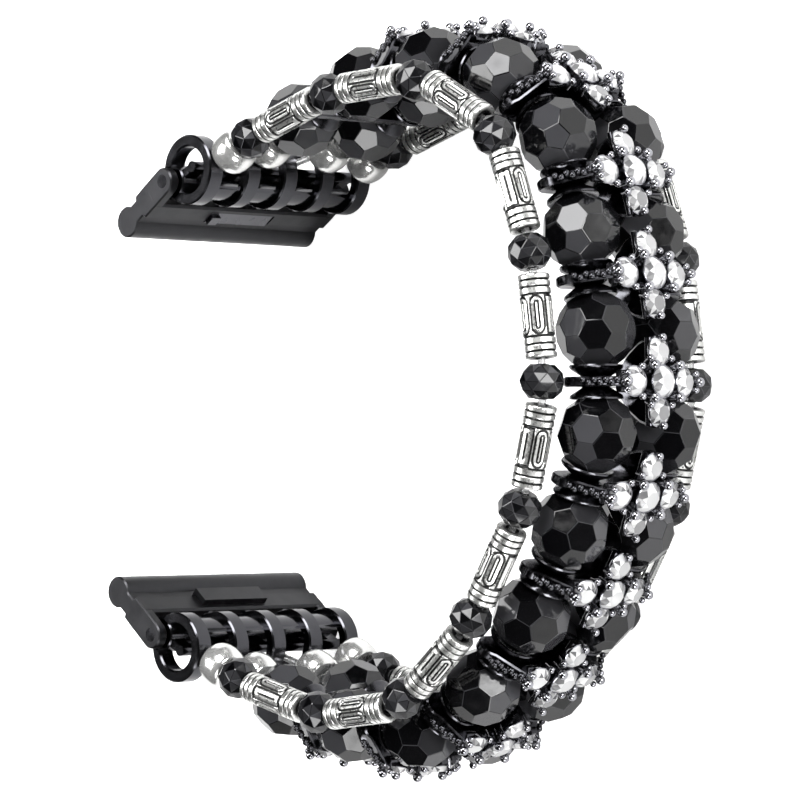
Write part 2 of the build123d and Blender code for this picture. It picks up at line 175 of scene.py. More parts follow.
def slab(outline, low, high, edge):
    """An outline in X and Y raised from low to high along Z, its rims eased by the edge."""
    middle = Vector((sum(x for x, y in outline), sum(y for x, y in outline))) / len(outline)
    count = len(outline)
    points = []
    for height, inset in ((low, edge), (low + edge, 0), (high - edge, 0), (high, edge)):
        for index, (x, y) in enumerate(outline):
            before = Vector(outline[index - 1])
            after = Vector(outline[(index + 1) % count])
            run = (after - before).normalized()
            inward = Vector((-run.y, run.x))
            points.append((x + inward.x * inset, y + inward.y * inset, height))
    caps = [tuple(range(count)), tuple(range(3 * count, 4 * count))]
    return points, caps + wrapped(4, count)


def show(name, data, place, body, slot, *nodes):
    """Puts one piece in the scene on its body, in its place, for the nodes it stands for."""
    piece = bpy.data.objects.new(name, data)
    bpy.context.scene.collection.objects.link(piece)
    metres = place.copy()
    metres.translation = place.translation * mm
    piece.matrix_world = metres
    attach(piece, body)
    if nodes:
        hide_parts(*nodes)


trial, _ = turned([(0, 1), (1, 1)], 8)
print("a profile of 2 places, turned in 8 sides, gives", len(trial), "points")

# %% [markdown]
# All colours are written as sRGB hex, the way a colour picker gives them, and one function
# turns them to the linear values that the shaders need. One more adds a node, sets it and
# links it, so that each material below reads as a list of its nodes. Every finish on the
# band is smoother in some patches than in others, and one function starts it that way.

# %% Helpers for materials
def linear(hex_code):
    channels = [int(hex_code[index:index + 2], 16) / 255 for index in (1, 3, 5)]
    return tuple(c / 12.92 if c <= 0.04045 else ((c + 0.055) / 1.055) ** 2.4
                 for c in channels) + (1.0,)


def feed(tree, made, inputs):
    """Gives a node's sockets their values, or links from the sockets of other nodes."""
    for socket, value in inputs.items():
        if isinstance(value, bpy.types.NodeSocket):
            tree.links.new(value, made.inputs[socket])
        else:
            made.inputs[socket].default_value = value


def node(tree, kind, inputs=None, **settings):
    """Adds one node, with settings on it and values or links for its sockets."""
    made = tree.nodes.new(kind)
    for name, value in settings.items():
        setattr(made, name, value)
    feed(tree, made, inputs or {})
    return made


def finish_named(name):
    """An empty material: its tree and the Principled shader in it."""
    material = bpy.data.materials.new(name)
    material.use_nodes = True
    tree = material.node_tree
    return material, tree, tree.nodes["Principled BSDF"]


def patchy_finish(name, patch, detail, smooth, rough):
    """A material that goes from smooth to rough in patches of this many millimetres."""
    material, tree, shader = finish_named(name)
    where = node(tree, "ShaderNodeTexCoord")
    patches = node(tree, "ShaderNodeTexNoise", {"Vector": where.outputs["Object"],
                   "Scale": 1 / (patch * mm), "Detail": detail}).outputs["Fac"]
    gloss = node(tree, "ShaderNodeMapRange", {"Value": patches, "From Min": 0.35,
                 "From Max": 0.65, "To Min": smooth, "To Max": rough})
    feed(tree, shader, {"Roughness": gloss.outputs["Result"]})
    return material, tree, shader, patches


def facet_reflection_mask(tree, bias):
    """A value from nought to one for each flat facet, from the way that it faces: how much
    painted reflection grey that facet gets.
    """
    shape = node(tree, "ShaderNodeNewGeometry")
    facing = node(tree, "ShaderNodeVectorTransform", {"Vector": shape.outputs["True Normal"]},
                  vector_type="NORMAL", convert_from="WORLD", convert_to="OBJECT")
    spread = node(tree, "ShaderNodeVectorMath", {0: facing.outputs["Vector"], 1: (9, 9, 9),
                  2: (0.37, 0.61, 0.23)}, operation="MULTIPLY_ADD")
    whole = node(tree, "ShaderNodeVectorMath", {0: spread.outputs["Vector"]}, operation="FLOOR")
    chance = node(tree, "ShaderNodeTexWhiteNoise", {"Vector": whole.outputs["Vector"]},
                  noise_dimensions="3D").outputs["Value"]
    return node(tree, "ShaderNodeMath", {0: chance, 1: bias}, operation="POWER").outputs["Value"]


print("the grey #808080 is", round(linear("#808080")[0], 3), "in linear values")

# %% [markdown]
# The black beads are pressed glass, cut and polished on a wheel. Each flat facet mirrors one
# patch of the room, and light that enters it comes back from one facet behind. That light is
# painted in: each facet has its own even grey over the black under the gloss, a painted
# reflection.

# %% Jet glass
smear = 1.6
# a wheel leaves marks far finer than this, and they are drawn so wide that they show
polish_mark = 0.5
jet_glass, tree, shader, _ = patchy_finish("jet_glass", smear, 3.0, 0.05, 0.13)
# the grey over the black on some facets is painted reflection, one even grey to a facet
tone = node(tree, "ShaderNodeMix", {"Factor": facet_reflection_mask(tree, 2.2), "A": linear("#040405"),
            "B": linear("#454548")}, data_type="RGBA")
where = node(tree, "ShaderNodeTexCoord")
polish = node(tree, "ShaderNodeTexNoise", {"Vector": where.outputs["Object"],
              "Scale": 1 / (polish_mark * mm), "Detail": 5.0})
ripple = node(tree, "ShaderNodeBump", {"Height": polish.outputs["Fac"], "Strength": 0.08,
              "Distance": 0.015 * mm})
feed(tree, shader, {"Base Color": tone.outputs["Result"], "Normal": ripple.outputs["Normal"],
                    "IOR": 1.6, "Specular IOR Level": 0.3})
print("jet glass, smears of", smear, "mm")

# %% [markdown]
# The tubes and the smooth beads are cast in a soft alloy and silver plated. The tubes have
# an antique finish: black is left in the grooves and wiped off the high parts. The carving
# stores how deep each point lies, and the material turns dark and dull with that depth. The
# bore at each end is given depth too, so its mouth and inside are painted black: painted
# shade inside the hole.

# %% Antiqued and polished silver
antique_patch, polished_patch = 0.35, 0.6
antique_silver, tree, shader, wiped = patchy_finish("antique_silver_plate", antique_patch, 4.0,
                                                    0.24, 0.36)
patina = node(tree, "ShaderNodeMix", {"Factor": wiped, "A": linear("#f7f7f5"),
              "B": linear("#cfcfcc")}, data_type="RGBA")
depth = node(tree, "ShaderNodeAttribute", attribute_name="carving_depth").outputs["Fac"]
black = node(tree, "ShaderNodeMapRange", {"Value": depth, "From Min": 0.08, "From Max": 0.5,
             "To Min": 0, "To Max": 1})
# black in the grooves is the antique finish; black in the bore at each end is painted shade
antiqued_and_bore_shade = node(tree, "ShaderNodeMix", {"Factor": black.outputs["Result"],
                "A": patina.outputs["Result"], "B": linear("#0c0c0c")}, data_type="RGBA")
bare = node(tree, "ShaderNodeMapRange", {"Value": depth, "From Min": 0.2, "From Max": 0.8,
            "To Min": 0.93, "To Max": 0.1})
scuffs = node(tree, "ShaderNodeBump", {"Height": wiped, "Strength": 0.1, "Distance": 0.02 * mm})
feed(tree, shader, {"Base Color": antiqued_and_bore_shade.outputs["Result"], "Metallic": bare.outputs["Result"],
                    "Normal": scuffs.outputs["Normal"]})

polished_silver, tree, shader, wiped = patchy_finish("polished_silver_plate", polished_patch, 4.0,
                                                     0.14, 0.26)
patina = node(tree, "ShaderNodeMix", {"Factor": wiped, "A": linear("#f6f6f4"),
              "B": linear("#e2e2e0")}, data_type="RGBA")
feed(tree, shader, {"Base Color": patina.outputs["Result"], "Metallic": 0.8})
print("silver, wiped in patches of", antique_patch, "and", polished_patch, "mm")

# %% [markdown]
# Spacers and combs are the same alloy plated black, which is called gunmetal: a dark metal
# with bright lines where an edge turns. The adapters have a duller, satin black plating,
# and the pins and leaf springs are bare ground steel.

# %% Black plating and steel
def plating(name, dark_hex, light_hex, smooth, rough, patch):
    """Bare or plated metal, worn in patches, with a grain a fifth as wide as a patch."""
    # the real grain is finer still, and is drawn so coarse that it shows
    material, tree, shader, worn = patchy_finish(name, patch, 4.0, smooth, rough)
    tone = node(tree, "ShaderNodeMix", {"Factor": worn, "A": linear(dark_hex),
                "B": linear(light_hex)}, data_type="RGBA")
    where = node(tree, "ShaderNodeTexCoord")
    fine = node(tree, "ShaderNodeTexNoise", {"Vector": where.outputs["Object"],
                "Scale": 1 / (patch / 5 * mm), "Detail": 3.0})
    grain = node(tree, "ShaderNodeBump", {"Height": fine.outputs["Fac"], "Strength": 0.15,
                 "Distance": 0.02 * mm})
    feed(tree, shader, {"Base Color": tone.outputs["Result"], "Normal": grain.outputs["Normal"],
                        "Metallic": 1.0})
    return material


gunmetal = plating("gunmetal_plate", "#38383b", "#58585c", 0.12, 0.26, 0.9)
# a lighter copy of the same gunmetal for the collets, prongs and balls: painted sheen for the
# highlights small round parts catch
painted_sheen_metal = plating("gunmetal_with_painted_sheen", "#85858a", "#a9a9ae", 0.14, 0.26, 0.6)
comb_plate = plating("comb_gunmetal_plate", "#434346", "#515155", 0.14, 0.2, 3.0)
satin_black = plating("satin_black_plate", "#343436", "#404042", 0.32, 0.45, 1.8)
ground_steel = plating("ground_steel", "#333336", "#48484b", 0.2, 0.3, 1.5)
spring_steel = plating("spring_steel", "#5e5e62", "#6e6e72", 0.25, 0.35, 1.5)
print("plating, worn in patches of 0.6 to 3 mm")

# %% [markdown]
# The stones are cut crystal with a foil on the back, as most costume stones are. Light goes
# in through the crown, mirrors on the foil of the cut back and comes out again. Most facets
# look white and some grey, so the crown is partly clear, and each facet's even white or grey
# is painted reflection.

# %% Crystal and its foil
# dust, creases and haze, in millimetres: finer on the real ones, and drawn wide to show
dust, crinkle, haze = 0.4, 0.5, 0.8
crystal, tree, shader, _ = patchy_finish("cut_crystal", dust, 2.0, 0.02, 0.08)
# the white or grey of each crown facet is painted reflection, one even tone to a facet
tone = node(tree, "ShaderNodeMix", {"Factor": facet_reflection_mask(tree, 1.1), "A": linear("#ffffff"),
            "B": linear("#2c2c31")}, data_type="RGBA")
feed(tree, shader, {"Base Color": tone.outputs["Result"], "Transmission Weight": 0.3,
                    "IOR": 1.5})

foil, tree, shader, creased = patchy_finish("silver_foil", crinkle, 3.0, 0.15, 0.3)
tone = node(tree, "ShaderNodeMix", {"Factor": creased, "A": linear("#ffffff"),
            "B": linear("#dcdce0")}, data_type="RGBA")
feed(tree, shader, {"Base Color": tone.outputs["Result"], "Metallic": 0.45})

# the cord is a polyurethane, clear but a little hazy from handling
elastic, tree, shader, _ = patchy_finish("clear_elastic", haze, 2.0, 0.15, 0.3)
feed(tree, shader, {"Base Color": linear("#f2f2f2"), "Transmission Weight": 0.85, "IOR": 1.49})
print("crystal, foil and elastic, in patches of", dust, crinkle, "and", haze, "mm")

# %% [markdown]
# The big beads are balls cut to twelve five-sided and twenty six-sided facets, strung
# through two of the five-sided ones. The corners of that form lie a third of the way along
# the edges of an icosahedron, so an icosahedron with its corners cut off makes it. A real
# facet edge is never knife sharp, so a hairline bevel catches the light.

# %% Big beads
def drained(shape):
    """The points and faces of a working mesh, which is then freed."""
    shape.verts.index_update()
    points = [tuple(corner.co) for corner in shape.verts]
    faces = [tuple(corner.index for corner in face.verts) for face in shape.faces]
    shape.free()
    return points, faces


bead_strand = 4.85
bead_radius = 4.06
facet_edge = 0.07


def cut_ball(radius):
    """A ball of flat facets, strung along X."""
    shape = bmesh.new()
    bmesh.ops.create_icosphere(shape, subdivisions=1, radius=1)
    top = max(shape.verts, key=lambda corner: corner.co.z).co.normalized()
    turn = top.rotation_difference(Vector((1, 0, 0))).to_matrix()
    triangles = [[corner.co.copy() for corner in face.verts] for face in shape.faces]
    shape.free()
    thirds = {}
    for triangle in triangles:
        for first in triangle:
            for second in triangle:
                if first is not second:
                    point = (first * 2 + second) / 3
                    thirds[tuple(round(value, 5) for value in point)] = point
    hull = bmesh.new()
    for point in thirds.values():
        hull.verts.new(turn @ point.normalized() * radius)
    bmesh.ops.convex_hull(hull, input=hull.verts)
    bmesh.ops.dissolve_limit(hull, angle_limit=math.radians(3), verts=hull.verts,
                             edges=hull.edges)
    bmesh.ops.bevel(hull, geom=hull.edges[:], offset=facet_edge, segments=2, affect="EDGES",
                    profile=0.6)
    return drained(hull)


def mouth(form, reach, radius):
    """The drilled mouths at both ends of a bead, as dark rings sunk into it."""
    for side in (1, -1):
        ring = [(side * (reach - 0.02), radius + 0.18), (side * (reach + 0.05), radius + 0.08),
                (side * (reach + 0.02), radius), (side * (reach - 0.9), radius * 0.9)]
        form.add(*turned(ring, 20))
    return form


bead_form = Form().add(*cut_ball(bead_radius))
mouth(bead_form, bead_radius * 0.935, 0.6)
bead_mesh = bead_form.mesh("cut_bead", [jet_glass], sharp=8)
for index, row in enumerate(rows):
    before = links[max(index - 1, 0)].to_3x3() @ Vector((1, 0, 0))
    after = links[min(index, row_count - 2)].to_3x3() @ Vector((1, 0, 0))
    for side, part in ((1, "near"), (-1, "far")):
        place = stand(row + Vector((0, 0, side * bead_strand)), before + after)
        place = place @ Matrix.Rotation(math.radians(random.uniform(0, 72)), 4, "X")
        names = [f"glass_beads_{index + 1:02d}"] if side == 1 else []
        show(f"bead_{index + 1:02d}_{part}", bead_mesh, place, f"row_{index + 1:02d}",
             "black_glass", *names)
print("big beads", 2 * len(rows), "of", len(bead_mesh.polygons), "faces")

# %% [markdown]
# The frame's own tubes say where each one lies. A carved tube is one mesh that all twenty
# share. Its surface is a round wall whose radius is lowered by a carving: three grooves at
# each end and six panels round the middle, two of them square and four round, each a long
# line round a slot or a loop. The mesh needs a point every 0.07 mm or so.

# %% Where the tubes lie
def points_of(name):
    """The points of a node of the frame, in millimetres."""
    return np.array([vertex.co for vertex in frame["nodes"][name].data.vertices]) / mm


def body_of(name):
    return frame["nodes"][name]["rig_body"]


def halves(name):
    """The points of a node, near side first, split at the middle of the width."""
    points = points_of(name)
    near = points[:, 2] > mid_width
    return points[near], points[~near]


def long_axis(points):
    """Middle, direction and length of a straight turned piece."""
    middle = points.mean(axis=0)
    spread = np.linalg.svd(points - middle, full_matrices=False)[2][0]
    reach = (points - middle) @ spread
    middle = middle + spread * (reach.max() + reach.min()) / 2
    return Vector(middle), Vector(spread), float(reach.max() - reach.min())


tube_count = 10
tube_places = []
for number in range(1, tube_count + 1):
    for half in halves(f"silver_tubes_{number:02d}"):
        middle, axis, tube_length = long_axis(half)
        nearest = min(links, key=lambda link: (link.translation - middle).length)
        if axis.dot(nearest.to_3x3() @ Vector((1, 0, 0))) < 0:
            axis = -axis
        tube_places.append((number, stand(middle, axis)))
tube_diameter = 3.2
print("tubes", len(tube_places), "length", round(tube_length, 2), "mm")


# %% The carving
ring_land = 0.52
ring_groove = 0.21
carving_depth = 0.17
ring_count = 3
panel_count = 6
panel_reach = 0.68
# in a panel: how far from its middle line each line runs, and how wide it is cut
frame_line = (0.66, 0.24)
loop_line = (0.17, 0.19)
slot_line = (0.0, 0.28)
end_reach = ring_count * (ring_land + ring_groove)


def groove(distance, middle, width):
    """How deep a groove with round walls is at some distance: one at its middle."""
    share = abs(distance - middle) / (width / 2)
    return (1 - share ** 2) ** 0.5 if share < 1 else 0.0


def carved(place, angle):
    """The depth of the carving from nought to one at a place along and round the tube."""
    from_end = tube_length / 2 - abs(place)
    if from_end < end_reach:
        lines = [(index + 1) * (ring_land + ring_groove) - ring_groove / 2
                 for index in range(ring_count)]
        return max(groove(from_end, line, ring_groove) for line in lines)
    pitch = math.tau / panel_count
    sector = math.floor(angle / pitch)
    sideways = (angle - (sector + 0.5) * pitch) * tube_diameter / 2
    straight = tube_length / 2 - end_reach - panel_reach - ring_groove / 2
    past = max(abs(place) - straight, 0)
    square = sector % 3 == 2
    distance = max(abs(sideways), past) if square else math.hypot(sideways, past)
    return max(groove(distance, *(slot_line if square else loop_line)),
               groove(distance, *frame_line))


def carved_tube():
    form = Form()
    around = 132
    steps = 120
    hole = 0.75
    rim_length = 0.12
    rim_drop = 0.1
    seen_depth = 1.2
    radius = tube_diameter / 2
    half = tube_length / 2
    deep = []
    points = []
    for step in range(steps + 1):
        place = -half + tube_length * step / steps
        rim = min(1.0, (half - abs(place)) / rim_length)
        for index in range(around):
            angle = math.tau * index / around
            amount = carved(place, angle)
            reach = radius - carving_depth * amount - rim_drop * (1 - rim)
            points.append((place, reach * math.cos(angle), reach * math.sin(angle)))
            deep.append(amount)
    form.add(points, wrapped(steps + 1, around))
    for side in (-1, 1):
        ring = 0 if side < 0 else steps
        rim_points = [points[ring * around + index] for index in range(around)]
        hole_points = [(side * place, y, z) for place in (half, half - seen_depth)
                       for y, z in circle(hole, around)]
        form.add(rim_points + hole_points, wrapped(3, around))
        # the bore's mouth and inside get depths of 0.7 and 1, so they are painted black: painted
        # shade inside the hole
        deep += [0.3] * around + [0.7] * around + [1.0] * around
    data = form.mesh("carved_tube", [antique_silver], sharp=60)
    values = data.attributes.new("carving_depth", "FLOAT", "POINT")
    place_of = {}
    for point, amount in zip(form.points, deep):
        key = tuple(round(value, 3) for value in point)
        place_of.setdefault(key, amount)
    for vertex, value in zip(data.vertices, values.data):
        key = tuple(round(c / mm, 3) for c in vertex.co)
        value.value = place_of.get(key, 0.0)
    return data


tube_mesh = carved_tube()
for order, (number, place) in enumerate(tube_places):
    node_name = f"silver_tubes_{number:02d}"
    side = "near" if order % 2 == 0 else "far"
    spun = place @ Matrix.Rotation(math.radians(47 * order), 4, "X")
    show(f"tube_{number:02d}_{side}", tube_mesh, spun, body_of(node_name), "antique_silver",
         node_name)
print("carved tube of", len(tube_mesh.vertices), "points")

# %% [markdown]
# The small beads between the tubes are rounder than they are long, with three rows of
# facets. Rings of corners, each turned half a step from the last, give a belt of triangles
# whose pairs read as the kites of a hand-cut bead.

# %% Small beads
small_radius = 2.27
small_length = 3.4


def small_bead():
    sides = 9
    rings = [(-0.5, 0.56), (-0.27, 0.9), (0.0, 1.0), (0.27, 0.9), (0.5, 0.56)]
    points = [(place * small_length, y, z) for level, (place, share) in enumerate(rings)
              for y, z in circle(share * small_radius, sides, 0.5 * (level % 2))]
    faces = [tuple(range(sides)), tuple(range(4 * sides, 5 * sides))]
    for level in range(4):
        for index in range(sides):
            beside = (index + 1) % sides
            low, high = level * sides, (level + 1) * sides
            if level % 2 == 0:
                faces += [(low + index, low + beside, high + index),
                          (low + beside, high + beside, high + index)]
            else:
                faces += [(low + index, low + beside, high + beside),
                          (low + index, high + beside, high + index)]
    shape = bmesh.new()
    corners = [shape.verts.new(point) for point in points]
    for face in faces:
        shape.faces.new([corners[index] for index in face])
    bmesh.ops.recalc_face_normals(shape, faces=shape.faces)
    bmesh.ops.bevel(shape, geom=shape.edges[:], offset=0.04, segments=1, affect="EDGES")
    return mouth(Form().add(*drained(shape)), small_length / 2, 0.55)


small_mesh = small_bead().mesh("small_bead", [jet_glass], sharp=8)
small_places = []
# a small bead this close to a comb's bar has a tube on one side only
comb_reach = 14.5
for index, row in enumerate(rows):
    for order, half in enumerate(halves(f"glass_beads_{index + 1:02d}")):
        bead_middle = row + Vector((0, 0, bead_strand if order == 0 else -bead_strand))
        away = np.linalg.norm(half - np.array(bead_middle), axis=1)
        loose = half[away > bead_radius + 0.05]
        if len(loose):
            small_places.append((index + 1, order, Vector(loose.mean(axis=0))))
for row_number, order, middle in small_places:
    ordered = sorted((place for place_order, (_, place) in enumerate(tube_places)
                      if place_order % 2 == order), key=lambda t: (t.translation - middle).length)
    axes = [tube.to_3x3() @ Vector((1, 0, 0)) for tube in ordered[:2]]
    at_end = min((middle - bars[end]).length for end in bars) < comb_reach
    axis = axes[0] if at_end else axes[0] + axes[1]
    place = stand(middle, axis) @ Matrix.Rotation(random.uniform(0, 0.7), 4, "X")
    show(f"small_bead_{row_number:02d}_{'near' if order == 0 else 'far'}", small_mesh, place,
         f"row_{row_number:02d}", "black_glass")
print("small beads", len(small_places))

# %% [markdown]
# The smooth beads beside the combs are small turned rounds, polished bright. One soft
# profile, flat at the mouths and fullest in the middle, makes all eight.

# %% Smooth beads
smooth_length = 3.2
smooth_radius = 2.4
profile = [(-smooth_length / 2 * math.cos(math.pi * step / 18),
            smooth_radius * (0.5 + 0.5 * math.sin(math.pi * step / 18) ** 0.5))
           for step in range(19)]
smooth_hole = 0.6
profile = [(-smooth_length / 2, smooth_hole)] + profile + [(smooth_length / 2, smooth_hole)]
smooth_mesh = Form().add(*turned(profile, 40)).mesh("smooth_bead", [polished_silver], sharp=50)


def islands(points, count):
    """Splits a node's points into this many clumps, side by side across the band."""
    order = np.argsort(points[:, 2])
    heights = points[order, 2]
    gaps = np.argsort(np.diff(heights))[::-1][:count - 1]
    return [points[part] for part in np.split(order, sorted(gaps + 1))]


for end, row in (("upper", rows[0]), ("lower", rows[-1])):
    node_name = f"smooth_beads_{end}"
    direction = (row - bars[end]).normalized()
    for order, clump in enumerate(islands(points_of(node_name), 4)):
        middle = Vector((clump.max(axis=0) + clump.min(axis=0)) / 2)
        show(f"smooth_bead_{end}_{order + 1}", smooth_mesh, stand(middle, direction),
             body_of(node_name), "polished_silver", node_name)
print("smooth beads", 8)

# %% [markdown]
# A cut stone is a stack of rings: the table, the points of the crown, the girdle, and below
# it the foil-backed pavilion that comes to one point. Turned by half a step from ring to
# ring, the rings give the kites and triangles of a round brilliant.

# %% A brilliant
def brilliant(diameter):
    """A round brilliant, its girdle at zero and its table up along local Y."""
    radius = diameter / 2
    height = diameter * 0.22
    depth = diameter * 0.26

    def ring(share, up, count=8, start=0.0):
        return [(x, up, z) for x, z in circle(share * radius, count, start)]

    table = ring(0.56, height, start=0.5)
    kites = ring(0.8, height * 0.62)
    girdle = ring(1, 0, count=16)
    lower = ring(0.52, -depth * 0.52, start=0.5)
    points = table + kites + girdle + lower + [(0, -depth, 0)]
    crown = [tuple(range(8))]
    back = []
    for k in range(8):
        after = (k + 1) % 8
        corner = 16 + (2 * k + 1)
        left = 16 + 2 * k
        right = 16 + (2 * k + 2) % 16
        crown += [(k, after, 8 + after), (k, 8 + after, corner, 8 + k),
                  (8 + k, corner, left), (8 + after, right, corner)]
        back += [(32 + k, corner, left), (32 + k, right, corner),
                 (32 + k, right, 32 + after), (32 + k, 32 + after, 40)]
    return points, crown, back


# each stone: where its girdle's middle is, its diameter, and how it leans across and along
stones = (((0, 4.62, 0), 3.15, 0, 0), ((0, 4.1, 3.7), 2.9, 11, 0), ((0, 4.1, -3.7), 2.9, -11, 0),
          ((3.05, 4.05, 0), 2.85, 0, -8), ((-3.05, 4.05, 0), 2.85, 0, 8))


def seat(stone):
    """The place of a stone: its own middle and lean."""
    spot, _, across_lean, along_lean = stone
    lean = Matrix.Rotation(math.radians(across_lean), 4, "X")
    lean = lean @ Matrix.Rotation(math.radians(along_lean), 4, "Z")
    return Matrix.Translation(Vector(spot)) @ lean


stone_form = Form()
for order, stone in enumerate(stones):
    points, crown, back = brilliant(stone[1])
    place = seat(stone) @ Matrix.Rotation(math.radians(11 * order), 4, "Y")
    stone_form.add(points, crown, place, 0)
    stone_form.add(points, back, place, 1)
stone_mesh = stone_form.mesh("five_stones", [crystal, foil], smooth=False)
for number in range(2, row_count):
    name = f"rhinestones_{number:02d}"
    show(f"stones_{number:02d}", stone_mesh, links[number - 1], spacer_bodies[number - 1],
         "clear_stone", name)
print("stones", 5 * (row_count - 2))

# %% [markdown]
# The crosses are the jewel of the band. Each has a plate with two cups that cradle the big
# beads. They are turned to the curve of the bead, so that a thin dark rim hugs it. The first
# spacer has no stones, and is this plate with its cups alone.

# %% A plate and its cups
cup_gap = 0.14
from_bead = (rows[1] - rows[0]).length / 2
plate_half = 8.5


def arc(middle, radius, start, end, steps):
    """Points on a round stretch of an outline, from one angle to another."""
    return [(middle[0] + radius * math.cos(math.radians(start + (end - start) * step / steps)),
             middle[1] + radius * math.sin(math.radians(start + (end - start) * step / steps)))
            for step in range(steps + 1)]


def cup_profile():
    """Half of a spacer disc: the curve of the bead inside, a thin rim, a waisted outside."""
    hollow = bead_radius + cup_gap
    rim = 1.72
    inside = []
    for step in range(9):
        place = 1.0 + (rim - 1.0) * step / 8
        inside.append((place, math.sqrt(max(hollow ** 2 - (from_bead - place) ** 2, 0.3))))
    outside = [(rim, inside[-1][1] + 0.16), (rim - 0.16, inside[-1][1] + 0.24),
               (rim - 0.42, inside[-1][1] + 0.14), (0.45, 1.3)]
    return [(0.95, 0.45)] + inside + outside


def spacer_disc():
    half = cup_profile()
    whole = half + [(-place, radius) for place, radius in reversed(half)]
    return turned(whole, 56, closed=True)


def plate_outline(half_length, low, high, shoulder=None):
    """The plate across the band: round ends, and a shoulder that climbs to the stones."""
    radius = (high - low) / 2
    middle = (high + low) / 2
    right = arc((half_length - radius, middle), radius, -90, 70, 8)
    if shoulder:
        right += [(shoulder[0] + 0.25, shoulder[1]), (shoulder[0] - 0.3, shoulder[1] + 0.15)]
    return right + [(-across, up) for across, up in reversed(right)]


def plain_parts(form, shoulder=None):
    across_up = Matrix(((0, 0, 1, 0), (0, 1, 0, 0), (-1, 0, 0, 0), (0, 0, 0, 1)))
    form.add(*slab(plate_outline(plate_half, -1.9, 1.1, shoulder), -0.5, 0.5, 0.16), across_up)
    for side in (1, -1):
        form.add(*spacer_disc(), Matrix.Translation((0, 0, side * bead_strand)))
    return form


plain_mesh = plain_parts(Form()).mesh("plain_spacer", [gunmetal])
print("plate of", len(plain_mesh.vertices), "points")

# %% [markdown]
# On the plate, two pairs of crossed rails carry five collets, which are the cups of the
# stones. A keel on either side fills the gap between the near and far beads, thin prongs
# stand between the stones, and every prong ends in a round ball.

# %% Prongs and balls
def rod(start, end, radius, tip, sides=12):
    """A round prong that swells to a ball at its tip."""
    span = Vector(end) - Vector(start)
    length = span.length
    profile = [(0, 0), (0, radius), (length - tip, radius * 0.85)]
    profile += [(length - tip * math.cos(math.pi * step / 8), tip * math.sin(math.pi * step / 8))
                for step in range(1, 9)]
    turn = span.to_track_quat("X", "Z").to_matrix().to_4x4()
    points, faces = turned(profile, sides)
    return points, faces, Matrix.Translation(Vector(start)) @ turn


def prong(ends, side, other):
    """One prong of a list, on either side of the middle along and across the band."""
    foot, tip = [(side * along, up, other * across) for along, up, across in ends[:2]]
    return rod(foot, tip, *ends[2:])


def ball(radius, sides, rings):
    """A small ball round its own middle."""
    profile = [(-radius * math.cos(math.pi * ring / rings),
                radius * math.sin(math.pi * ring / rings)) for ring in range(rings + 1)]
    return turned(profile, sides)


# each prong: its foot and its tip (along, up and across), its radius and its ball's
edge_prongs = (((0, 3.2, 5.0), (0, 4.75, 5.35), 0.32, 0.5),
               ((4.3, 3.2, 0), (4.42, 4.6, 0), 0.3, 0.42))
corner_prongs = (((1.2, 3.3, 1.3), (1.62, 5.25, 1.85), 0.34, 0.52),
                 ((1.0, 3.2, 2.3), (1.5, 4.35, 2.75), 0.26, 0.4),
                 ((2.0, 3.2, 0.9), (2.3, 4.35, 1.5), 0.26, 0.4),
                 ((0.5, 3.2, 5.0), (0.8, 4.5, 5.05), 0.2, 0.34))
print("prongs on a cross", 2 * len(edge_prongs) + 4 * len(corner_prongs))

# %% The whole cross
keel_outline = ((0.2, -1.2), (1.5, -0.9), (2.9, 0.2), (4.0, 1.7), (4.55, 3.2), (4.4, 3.75),
                (0.2, 3.6))
keel_half = 0.62
# the rails that carry the stones, two along the band and two across it: their halves, their
# radius, their height, and their distance from the middle
rail_half_along, rail_half_across = 4.4, 5.2
rail_radius = 0.42
rail_height = 3.35
rail_offset = 0.7
grain_count = 8
# turns a lathe's X to local Y, for what stands on the outside of the band
upright = Matrix.Rotation(math.radians(90), 4, "Z")


def cross_parts(form):
    plain_parts(form, shoulder=(5.2, 3.7))
    for stone in stones:
        rim = stone[1] / 2
        wall = [(-0.95, 0.0), (-0.95, rim * 0.6), (-0.5, rim * 0.84), (-0.1, rim + 0.07),
                (0.04, rim + 0.1), (0.1, rim + 0.03), (0.0, rim - 0.03), (-0.3, rim * 0.8),
                (-0.66, rim * 0.4), (-0.7, 0.0)]
        # the collets take finish 1, the lighter copy of the gunmetal: painted sheen
        form.add(*turned(wall, 36), seat(stone) @ upright, 1)
    # a keel runs down between the near and far beads on both sides of the plate
    for side in (1, -1):
        keel = [(side * along, up) for along, up in keel_outline]
        if side < 0:
            keel.reverse()
        form.add(*slab(keel, -keel_half, keel_half, 0.3))
        # the prongs and their balls take finish 1 as well: painted sheen
        for ends in edge_prongs:
            form.add(*prong(ends, side, side), 1)
        for other in (1, -1):
            for ends in corner_prongs:
                form.add(*prong(ends, side, other), 1)
    # the rails under the stones, and a twisted strip of grains down each shoulder
    quarter_turn = Matrix.Rotation(math.radians(90), 4, "Y")
    for side in (1, -1):
        offset = side * rail_offset
        for half, spot, way in ((rail_half_along, (0, rail_height, offset), Matrix()),
                                (rail_half_across, (offset, rail_height, 0), quarter_turn)):
            rail = [(-half, 0.0), (-half, rail_radius), (half, rail_radius), (half, 0.0)]
            form.add(*turned(rail, 12), Matrix.Translation(spot) @ way)
        for step in range(grain_count):
            share = step / (grain_count - 1)
            spot = (0.14 * (-1) ** step, 4.1 - 2.75 * share, side * (5.3 + 3.0 * share))
            form.add(*ball(0.42 - 0.08 * share, 10, 6), Matrix.Translation(spot))
    return form


cross_mesh = cross_parts(Form()).mesh("cross_spacer", [gunmetal, painted_sheen_metal])
for number in range(1, row_count):
    shape = cross_mesh if number > 1 else plain_mesh
    show(f"spacer_piece_{number:02d}", shape, links[number - 1], spacer_bodies[number - 1],
         "gunmetal", f"cross_spacer_{number:02d}")
print("cross of", len(cross_mesh.vertices), "points, shared by", row_count - 2)

